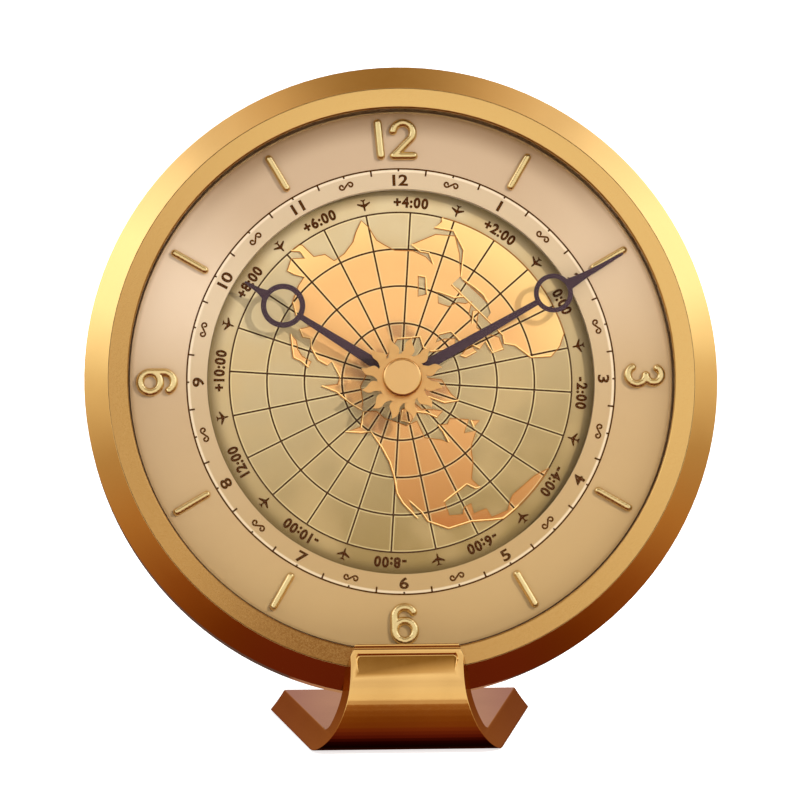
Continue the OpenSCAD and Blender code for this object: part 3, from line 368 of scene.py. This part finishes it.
def glass_material():
    """Clear mineral glass: most light passes straight on, and the dome keeps a faint warm gloss."""
    s = Shader("mineral_glass", "#ffffff", 0.0, 0.02)
    clear = s.node("ShaderNodeBsdfTransparent")
    s.feed(clear.inputs["Color"], (0.985, 0.99, 0.985))
    gloss = s.node("ShaderNodeBsdfGlossy")
    s.feed(gloss.inputs["Roughness"], 0.03)
    s.feed(gloss.inputs["Color"], (1.0, 0.88, 0.72))
    fresnel = s.node("ShaderNodeFresnel")
    s.feed(fresnel.inputs["IOR"], 1.45)
    mirrored = s.math("MULTIPLY", fresnel.outputs[0], 0.14)
    surface = s.mix_shader(mirrored, clear.outputs[0], gloss.outputs[0])
    s.feed(s.tree.nodes["Material Output"].inputs["Surface"], surface)
    return s.mat


def felt_material():
    """Dark felt with short fibres."""
    s = Shader("felt", "#2b2320", 0.0, 0.95)
    fibres = s.noise(s.stretch(s.place(False), (1.0, 2.4, 1.0)), 1.6, 4.0, 0.7)
    s.set("Base Color", s.mix(s.span(fibres, 0.3, 0.7), linear("#1d1715"), linear("#3b302b")))
    s.set("Sheen Weight", 0.35)
    s.bump(fibres, 0.6, 0.0004)
    return s.mat


def ink(name, color):
    """Dull printing ink; it also gives the painted coast highlight its flat colour."""
    s = Shader(name, color, 0.0, 0.5)
    s.set("Specular IOR Level", 0.05)
    s.mottle(color, s.noise(s.place(False), 0.9), 0.8, 1.25)
    return s.mat


def lacquer(name, color):
    """Dark lacquered steel of the hands, with a soft sheen."""
    s = Shader(name, color, 0.2, 0.36)
    s.set("Specular IOR Level", 0.3)
    at = s.place(True)
    s.mottle(color, s.noise(at, 0.12, 3.0), 0.85, 1.2)
    s.set("Roughness", s.span(s.noise(at, 2.0), 0.3, 0.7, 0.3, 0.42))
    s.set("Coat Weight", 0.05)
    return s.mat


MARKERS = ("hour_bars", "numeral_twelve", "numeral_three", "numeral_six", "numeral_nine")
BRASS_NODES = (
    "map_clip", "map_ring_gear", "hour_wheel", "centre_bush", "rear_bush", "centre_wheel",
    "minute_wheel", "map_idler", "setting_wheel",
)
STEEL_NODES = (
    "minute_arbor", "gear_posts", "plate_pillars", "drive_pinion", "base_screws", "case_screws",
    "bridge_screws", "housing_screws", "back_screws", "dial_posts",
)
MATERIALS = {
    name: material
    for material, names in (
        (stand_material(), ("stand_body",)),
        (felt_material(), ("felt_pad",)),
        (metal("saddle_metal", "#6b5a45", 0.45, 0.1), ("saddle_block",)),
        (metal("case_gold", "#f0c27e", 0.12, wear=0.02), ("case_ring",)),
        (bezel_material(), ("bezel_ring",)),
        (glass_material(), ("crystal",)),
        (gasket_material(), ("glass_gasket",)),
        (dial_material(), ("dial_plate",)),
        (sea_material(), ("map_disc",)),
        (land_material(), ("land_relief",)),
        (metal("gear_brass", "#d0a850", 0.28, 0.08), BRASS_NODES),
        (metal("steel", "#b9b9b6", 0.25, 0.06), STEEL_NODES),
        (metal("plate_metal", "#b9b4a4", 0.38, 0.12), ("main_plate", "rear_plate")),
        (metal("marker_gold", "#f6dca6", 0.22), MARKERS),
        (lacquer("hand_lacquer", "#35232d"), ("hour_hand", "minute_hand")),
        (metal("sun_gold", "#fac482", 0.34, 0.05), ("sun_ornament",)),
        (metal("cap_gold", "#f3c284", 0.13), ("hub_cap",)),
        (plastic("housing_dark", "#332e2a", 0.45), ("rear_housing",)),
        (plastic("cover_dark", "#2a2522", 0.4), ("back_cover", "battery_door")),
        (plastic("knob_black", "#1f1e1d", 0.4), ("setting_knob",)),
        (metal("contact_metal", "#c9c9c4", 0.22), ("contact_plus", "contact_minus", "quartz_can")),
        (plastic("holder_dark", "#3a3632", 0.5), ("battery_holder",)),
        (metal("cell_wrap", "#6a6f74", 0.32), ("battery_cell",)),
        (plastic("motor_plastic", "#e8e4d8", 0.45), ("motor_module",)),
        (plastic("board_green", "#2f5d3a", 0.35), ("circuit_board",)),
    )
    for name in names
}

# Widths of the rounded edges, in millimetres
BEVELS = {
    "stand_body": 0.3,
    "case_ring": 0.12,
    "bezel_ring": 0.12,
    "land_relief": 0.2,
    "hour_hand": 0.14,
    "minute_hand": 0.14,
    "sun_ornament": 0.28,
    "hub_cap": 0.1,
    "rear_housing": 0.4,
    "setting_knob": 0.25,
    "battery_door": 0.3,
}


def modify(o, name, kind, **settings):
    """Adds a modifier with its settings."""
    made = o.modifiers.new(name, kind)
    for key, value in settings.items():
        setattr(made, key, value)


def finish_edges(o, bevel):
    """Smooth shading with crisp edges, and a fine rounded edge where asked, by modifiers only."""
    for polygon in o.data.polygons:
        polygon.use_smooth = True
    if "custom_normal" in o.data.attributes:
        o.data.attributes.remove(o.data.attributes["custom_normal"])
    if o.name in MARKERS:
        modify(o, "fine", "REMESH", mode="VOXEL", voxel_size=0.2 * MM, use_smooth_shade=True)
        modify(o, "fuller", "DISPLACE", strength=0.42 * MM, mid_level=0.0)
        modify(o, "soft", "SMOOTH", factor=0.5, iterations=5)
        return
    modify(o, "weld", "WELD", merge_threshold=0.002 * MM)
    if o.name in ("sun_ornament", "land_relief"):
        modify(o, "flat", "DECIMATE", decimate_type="DISSOLVE", angle_limit=math.radians(1))
    if bevel:
        modify(
            o, "rounded", "BEVEL",
            width=bevel * MM,
            segments=2,
            limit_method="ANGLE",
            angle_limit=math.radians(32),
            use_clamp_overlap=o.name != "stand_body",
        )
    modify(o, "split", "EDGE_SPLIT", split_angle=math.radians(34))
    modify(o, "even", "WEIGHTED_NORMAL", keep_sharp=True)


for name, o in nodes.items():
    o.data.materials.clear()
    o.data.materials.append(MATERIALS[name])
    finish_edges(o, BEVELS.get(name, 0.0))


class Print:
    """Flat printed shapes, and the painted coast highlight, as one thin mesh of closed solids, in
    millimetres in the dial's frame.
    """

    def __init__(self):
        self.verts = []
        self.faces = []

    def add(self, verts, faces, spot=Matrix.Identity(3)):
        """Adds one closed solid at a spot."""
        start = len(self.verts)
        for x, y, z in verts:
            p = spot @ Vector((x, y, 1))
            self.verts.append((p.x * MM, p.y * MM, z * MM))
        self.faces += [tuple(i + start for i in f) for f in faces]

    def ribbon(self, points, width, low, high, closed=False, spot=Matrix.Identity(3)):
        """A line of even width along the points, as a solid between two levels."""
        n = len(points)
        left, right = [], []
        for i in range(n):
            a = points[i - 1] if i or closed else points[0]
            b = points[(i + 1) % n] if i < n - 1 or closed else points[-1]
            dx, dy = b[0] - a[0], b[1] - a[1]
            size = math.hypot(dx, dy)
            ox, oy = -dy / size * width / 2, dx / size * width / 2
            left.append((points[i][0] + ox, points[i][1] + oy))
            right.append((points[i][0] - ox, points[i][1] - oy))
        verts = [(x, y, z) for z in (low, high) for side in (left, right) for x, y in side]
        count = n if closed else n - 1
        faces = []
        for i in range(count):
            j = (i + 1) % n
            faces.append((2 * n + i, 3 * n + i, 3 * n + j, 2 * n + j))
            faces.append((i, j, n + j, n + i))
            faces.append((i, 2 * n + i, 2 * n + j, j))
            faces.append((n + i, n + j, 3 * n + j, 3 * n + i))
        if not closed:
            faces.append((0, n, 3 * n, 2 * n))
            faces.append((n - 1, 3 * n - 1, 4 * n - 1, 2 * n - 1))
        self.add(verts, faces, spot)

    def plate(self, outline, low, high, spot=Matrix.Identity(3)):
        """A flat outline as a solid between two levels."""
        n = len(outline)
        verts = [(x, y, z) for z in (low, high) for x, y in outline]
        faces = [tuple(range(n, 2 * n)), tuple(range(n - 1, -1, -1))]
        faces += [(i, (i + 1) % n, n + (i + 1) % n, n + i) for i in range(n)]
        self.add(verts, faces, spot)

    def make(self, name, mat, body, slot):
        """Turns what was added into one piece that rides on a body."""
        mesh = bpy.data.meshes.new(name)
        mesh.from_pydata(self.verts, [], self.faces)
        mesh.validate()
        mesh.materials.append(mat)
        o = bpy.data.objects.new(name, mesh)
        bpy.context.scene.collection.objects.link(o)
        o.matrix_world = HEAD
        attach(o, body)


GLYPHS = {}


def glyph(char, weight):
    """One character's closed mesh, standing on y = 0, with its strokes widened by the weight."""
    if (char, weight) not in GLYPHS:
        curve = bpy.data.curves.new("glyph", "FONT")
        curve.body = char
        curve.extrude = 0.5
        curve.offset = weight
        curve.resolution_u = 4
        o = bpy.data.objects.new("glyph", curve)
        bpy.context.scene.collection.objects.link(o)
        bpy.context.view_layer.update()
        mesh = o.evaluated_get(bpy.context.evaluated_depsgraph_get()).to_mesh()
        verts = [tuple(v.co) for v in mesh.vertices]
        faces = [tuple(p.vertices) for p in mesh.polygons]
        bpy.data.objects.remove(o)
        bpy.data.curves.remove(curve)
        GLYPHS[char, weight] = (verts, faces)
    return GLYPHS[char, weight]


def letter(sheet, char, height, squeeze, weight, low, high, spot):
    """Prints one character, centred on its spot: its height, its width factor and its stroke weight."""
    tall = max(v[1] for v in glyph("1", weight)[0])
    verts, faces = glyph(char, weight)
    mid = (max(v[0] for v in verts) + min(v[0] for v in verts)) / 2
    k = height / tall
    sheet.add(
        [((x - mid) * k * squeeze, (y - tall / 2) * k, low if z < 0 else high) for x, y, z in verts],
        faces,
        spot,
    )


def spot_at(radius, angle, inward=False):
    """Where a mark stands at a radius and a clockwise angle, its top outwards or inwards."""
    a = math.radians(-angle)
    turn = Matrix.Rotation(a, 3, "Z")
    move = Matrix.Identity(3)
    move[1][2] = radius
    flip = Matrix.Rotation(math.pi if inward else 0, 3, "Z")
    return turn @ move @ flip


INK = ink("printed_brown", "#3c1d08")
THIN_INK = ink("printed_dark", "#40220a")
SCROLL_INK = ink("printed_scroll", "#4a2a10")

# Height, width factor and stroke weight of the figures on the map's rim and on the hour ring
ZONE_TYPE = (3.2, 0.95, 0.048)
HOUR_TYPE = (3.4, 1.28, 0.03)

# Zone numbers round the map, where a zone's offset stands in place of each name, and how wide
# their characters are set
ZONES = (
    "+4:00", "+2:00", "0:00", "-2:00", "-4:00", "-6:00",
    "-8:00", "-10:00", "12:00", "+10:00", "+8:00", "+6:00",
)
DIGIT_WIDTH = 2.45
WIDTHS = {":": 1.2, "+": 2.6, "-": 2.0, "1": 2.1}
low, high = MAP_Z - PRINT_IN, MAP_Z + PRINT_OUT
numbers = Print()
for k, zone in enumerate(ZONES):
    widths = [WIDTHS.get(c, DIGIT_WIDTH) for c in zone]
    at = -sum(widths) / 2
    for c, w in zip(zone, widths):
        angle = MERIDIAN_AT + HOUR_TURN * k + math.degrees((at + w / 2) / ZONE_R)
        letter(numbers, c, *ZONE_TYPE, low, high, spot_at(ZONE_R, angle))
        at += w
numbers.make("zone_numbers", INK, "map", "map_sea")


def coast_loops(mesh):
    """The outlines of the land's top face in the dial's frame, in millimetres, and its level."""
    points = [BACK @ v.co / MM for v in mesh.vertices]
    top = max(p.z for p in points)
    edges = {}
    for polygon in mesh.polygons:
        if min(points[i].z for i in polygon.vertices) > top - 0.05:
            ring = [(round(points[i].x, 3), round(points[i].y, 3)) for i in polygon.vertices]
            for a, b in zip(ring, ring[1:] + ring[:1]):
                if (b, a) in edges:
                    del edges[b, a]
                else:
                    edges[a, b] = True
    following = {a: b for a, b in edges}
    loops = []
    while following:
        start = next(iter(following))
        loop = [start]
        at = following.pop(start)
        while at in following:
            loop.append(at)
            at = following.pop(at)
        loops.append(loop)
    return loops, top


def lit_runs(loop):
    """Stretches of a coast that face down and to the left, moved a little inward."""
    runs, run = [], []
    for a, b in zip(loop, loop[1:] + loop[:1]):
        dx, dy = b[0] - a[0], b[1] - a[1]
        length = math.hypot(dx, dy)
        out_x, out_y = dy / length, -dx / length
        if -0.5 * out_x - 0.87 * out_y > 0.3:
            ends = [(x - 0.3 * out_x, y - 0.3 * out_y) for x, y in (a, b)]
            run = run + ends[1:] if run else ends
        elif run:
            runs.append(run)
            run = []
    return runs + [run] if run else runs


# A thin dark line on the edge of the raised land, and beside it a painted highlight on the coasts that
# face down and to the left, where the raised edge would catch the light
coasts, lights = Print(), Print()
loops, land_top = coast_loops(nodes["land_relief"].data)
for loop in loops:
    if len(loop) > 2:
        coasts.ribbon(loop, 0.3, land_top - PRINT_IN, land_top + COAST_OUT, closed=True)
        # Painted highlight on the coasts that face down and to the left
        for run in lit_runs(loop):
            lights.ribbon(run, 0.26, land_top - PRINT_IN, land_top + PRINT_OUT)
coasts.make("coast_lines", ink("printed_coast", "#925c2c"), "map", "land_gold")
lights.make("painted_coast_highlights", ink("painted_coast_highlight", "#eec27e"), "map", "land_gold")

# Small planes between the zones, their noses to the pole
HALF_PLANE = [
    (0.28, 1.5), (0.32, 0.6), (2.1, -0.5), (2.0, -0.95), (0.3, -0.45), (0.24, -1.3),
    (0.8, -1.75), (0.75, -2.0),
]
PLANE_AT = 19
plane_outline = [(0, 1.9), *HALF_PLANE, (0, -1.8), *[(-x, y) for x, y in reversed(HALF_PLANE)]]
planes = Print()
for k in range(12):
    planes.plate(plane_outline, low, high, spot_at(PLANE_R, PLANE_AT + HOUR_TURN * k, inward=True))
planes.make("plane_marks", INK, "map", "map_sea")

# The hour ring: a circle with a tick to each quarter of an hour, short and long by turns
TICKS = 48
SHORT_TICK, LONG_TICK = 0.8, 1.9
low, high = -PRINT_IN, PRINT_OUT
circle = [
    (HOUR_CIRCLE_R * math.sin(math.radians(a)), HOUR_CIRCLE_R * math.cos(math.radians(a)))
    for a in range(0, 360, 2)
]
lines = Print()
lines.ribbon(circle, 0.5, low, high, closed=True)
for k in range(TICKS):
    tick = [(0, -(LONG_TICK if k % 2 else SHORT_TICK)), (0, 0.0)]
    lines.ribbon(tick, 0.55, low, high, spot=spot_at(HOUR_CIRCLE_R, 360 / TICKS * k))
lines.make("hour_circle", THIN_INK, "case", "dial_champagne")

# Its numbers, which stand with their tops inwards from 4 to 8
FIGURE_STEP = 2.9
figures = Print()
for hour in range(1, 13):
    text = str(hour)
    inward = 4 <= hour <= 8
    for i, c in enumerate(text):
        along = (i - (len(text) - 1) / 2) * FIGURE_STEP * (-1 if inward else 1)
        angle = HOUR_TURN * hour + math.degrees(along / HOUR_FIGURE_R)
        letter(figures, c, *HOUR_TYPE, low, high, spot_at(HOUR_FIGURE_R, angle, inward))
figures.make("hour_numbers", THIN_INK, "case", "dial_champagne")

# A scroll mark between each two numbers: a spiral, and the same spiral turned half round
spiral = [(0.35 + 0.03 * i, math.radians(-390 + 18 * i)) for i in range(21)]
curl = [(r * math.cos(a) - 1.4, r * math.sin(a)) for r, a in spiral]
curl += [(-x, -y) for x, y in reversed(curl)]
scrolls = Print()
for k in range(12):
    scrolls.ribbon(curl, 0.58, low, high, spot=spot_at(SCROLL_R, HOUR_TURN * (k + 0.5)))
scrolls.make("scroll_marks", SCROLL_INK, "case", "dial_champagne")


# A plain pale floor, which the metal doesn't mirror
floor_mesh = bpy.data.meshes.new("floor")
floor_mesh.from_pydata([(-6, -6, 0), (6, -6, 0), (6, 6, 0), (-6, 6, 0)], [], [(0, 1, 2, 3)])
floor = bpy.data.objects.new("floor", floor_mesh)
bpy.context.scene.collection.objects.link(floor)
pale = bpy.data.materials.new("pale_floor")
pale.use_nodes = True
for key, value in (
    ("Base Color", (0.93, 0.93, 0.93, 1)),
    ("Roughness", 0.8),
    ("Emission Color", (1, 1, 1, 1)),
    ("Emission Strength", 0.75),
):
    pale.node_tree.nodes["Principled BSDF"].inputs[key].default_value = value
floor_mesh.materials.append(pale)
floor.visible_glossy = False

# The room that the metal mirrors, as stops from straight down at 0 to straight up at 1: ahead of the
# clock, to its sides, and behind it. The colours are divided by GLOSS, since a ramp ends at 1, and
# the background's strength gives it back.
GLOSS = 1.8
AHEAD = (
    (0.0, (0.01, 0.0, 0.0)),
    (0.11, (0.10, 0.012, 0.006)),
    (0.30, (0.17, 0.032, 0.010)),
    (0.435, (0.22, 0.07, 0.010)),
    (0.50, (0.30, 0.12, 0.03)),
    (0.54, (0.44, 0.22, 0.07)),
    (0.555, (1.02, 0.92, 0.74)),
    (0.62, (1.02, 0.96, 0.82)),
    (0.68, (0.90, 0.84, 0.74)),
    (0.75, (1.12, 1.08, 1.00)),
    (0.80, (0.70, 0.56, 0.36)),
    (0.85, (0.26, 0.16, 0.05)),
    (0.91, (0.30, 0.20, 0.08)),
    (0.95, (0.88, 0.80, 0.68)),
    (0.978, (0.68, 0.56, 0.40)),
    (1.0, (0.34, 0.23, 0.10)),
)
ASIDE = (
    (0.0, (0.01, 0.0, 0.0)),
    (0.20, (0.10, 0.02, 0.002)),
    (0.26, (0.16, 0.040, 0.005)),
    (0.33, (0.27, 0.095, 0.022)),
    (0.42, (0.46, 0.25, 0.09)),
    (0.52, (0.52, 0.39, 0.22)),
    (0.625, (0.88, 0.82, 0.64)),
    (0.73, (1.58, 1.72, 1.70)),
    (0.82, (1.78, 1.78, 1.78)),
    (0.89, (1.34, 1.36, 1.36)),
    (0.95, (0.96, 0.92, 0.84)),
    (0.985, (0.60, 0.48, 0.34)),
    (1.0, (0.34, 0.23, 0.10)),
)
BEHIND = (
    (0.0, (0.0, 0.0, 0.0)),
    (0.22, (0.03, 0.006, 0.003)),
    (0.36, (0.14, 0.08, 0.06)),
    (0.45, (0.24, 0.14, 0.10)),
    (0.55, (0.36, 0.20, 0.16)),
    (0.62, (0.50, 0.34, 0.36)),
    (0.80, (0.62, 0.54, 0.46)),
    (1.0, (0.34, 0.26, 0.14)),
)
BEHIND_ASIDE = (
    (0.0, (0.02, 0.003, 0.001)),
    (0.45, (0.20, 0.06, 0.012)),
    (0.57, (0.31, 0.13, 0.05)),
    (0.66, (0.42, 0.22, 0.10)),
    (0.80, (0.70, 0.60, 0.46)),
    (1.0, (0.34, 0.26, 0.14)),
)

world = bpy.data.worlds.new("studio")
bpy.context.scene.world = world
world.use_nodes = True
world.node_tree.nodes.clear()
sky = Tree(world.node_tree)
x, y, z = sky.split(sky.node("ShaderNodeTexCoord").outputs["Generated"])
height = sky.span(z, -1.0, 1.0, kind="LINEAR")
sideways = sky.math("ABSOLUTE", x)


def gradient(stops):
    """A colour ramp over the height."""
    ramp = sky.node("ShaderNodeValToRGB")
    sky.feed(ramp.inputs["Fac"], height)
    elements = ramp.color_ramp.elements
    while len(elements) > 1:
        elements.remove(elements[-1])
    for i, (place, color) in enumerate(stops):
        element = elements[0] if i == 0 else elements.new(place)
        element.position = place
        element.color = (*[v / GLOSS for v in color], 1)
    return ramp.outputs["Color"]


def background(color, strength):
    """Light from the room in one colour and strength."""
    made = sky.node("ShaderNodeBackground")
    sky.feed(made.inputs["Color"], color)
    sky.feed(made.inputs["Strength"], strength)
    return made.outputs[0]


front = sky.mix(sky.span(sideways, 0.32, 0.60), gradient(AHEAD), gradient(ASIDE))
rear = sky.mix(sky.span(sideways, 0.1, 0.4), gradient(BEHIND), gradient(BEHIND_ASIDE))
room = sky.mix(sky.span(y, 0.0, 0.3), front, rear)

# Metal mirrors the room, the camera sees white, and all else is lit by a soft fill from above
fill = background((1, 1, 1), sky.span(z, -0.2, 1.0, 0.38, 1.12))
ray = sky.node("ShaderNodeLightPath").outputs
lit = sky.mix_shader(ray["Is Glossy Ray"], fill, background(room, GLOSS))
seen = sky.mix_shader(ray["Is Camera Ray"], lit, background((1, 1, 1), 1.0))
sky.feed(sky.node("ShaderNodeOutputWorld").inputs["Surface"], seen)

# The key light, which passes the rim of the case and the glass without a shadow
KEY_AT = Vector((0.95, -0.75, 0.95))
KEY_TO = Vector((0, 0, 0.105))
light = bpy.data.lights.new("key", "AREA")
light.shape = "RECTANGLE"
light.size = light.size_y = 0.05
light.energy = 23.0
light.color = (1.0, 0.96, 0.90)
key = bpy.data.objects.new("key", light)
bpy.context.scene.collection.objects.link(key)
key.location = KEY_AT
key.rotation_euler = (KEY_TO - KEY_AT).to_track_quat("-Z", "Y").to_euler()
key.visible_glossy = False
casters = bpy.data.collections.new("key_casters")
for name, o in nodes.items():
    if name not in ("case_ring", "bezel_ring", "crystal", "glass_gasket"):
        casters.objects.link(o)
key.light_linking.blocker_collection = casters

# The camera's place as fitted to the photograph: what it looks at, and from where round that
TARGET = Vector((-1.12, 0, 105.63)) * MM
ELEVATION, AZIMUTH, DISTANCE = math.radians(11.35), math.radians(2.53), 1393.8 * MM
camera_data = bpy.data.cameras.new("camera")
camera_data.sensor_width = 36.0
camera_data.lens = 204.7
camera_data.clip_start = 0.05
camera_data.clip_end = 50
camera = bpy.data.objects.new("camera", camera_data)
bpy.context.scene.collection.objects.link(camera)
away = Vector((
    -math.sin(AZIMUTH) * math.cos(ELEVATION),
    -math.cos(AZIMUTH) * math.cos(ELEVATION),
    math.sin(ELEVATION),
))
camera.location = TARGET + away * DISTANCE
camera.rotation_euler = (-away).to_track_quat("-Z", "Y").to_euler()
bpy.context.scene.camera = camera
bpy.context.scene.view_settings.view_transform = "Standard"
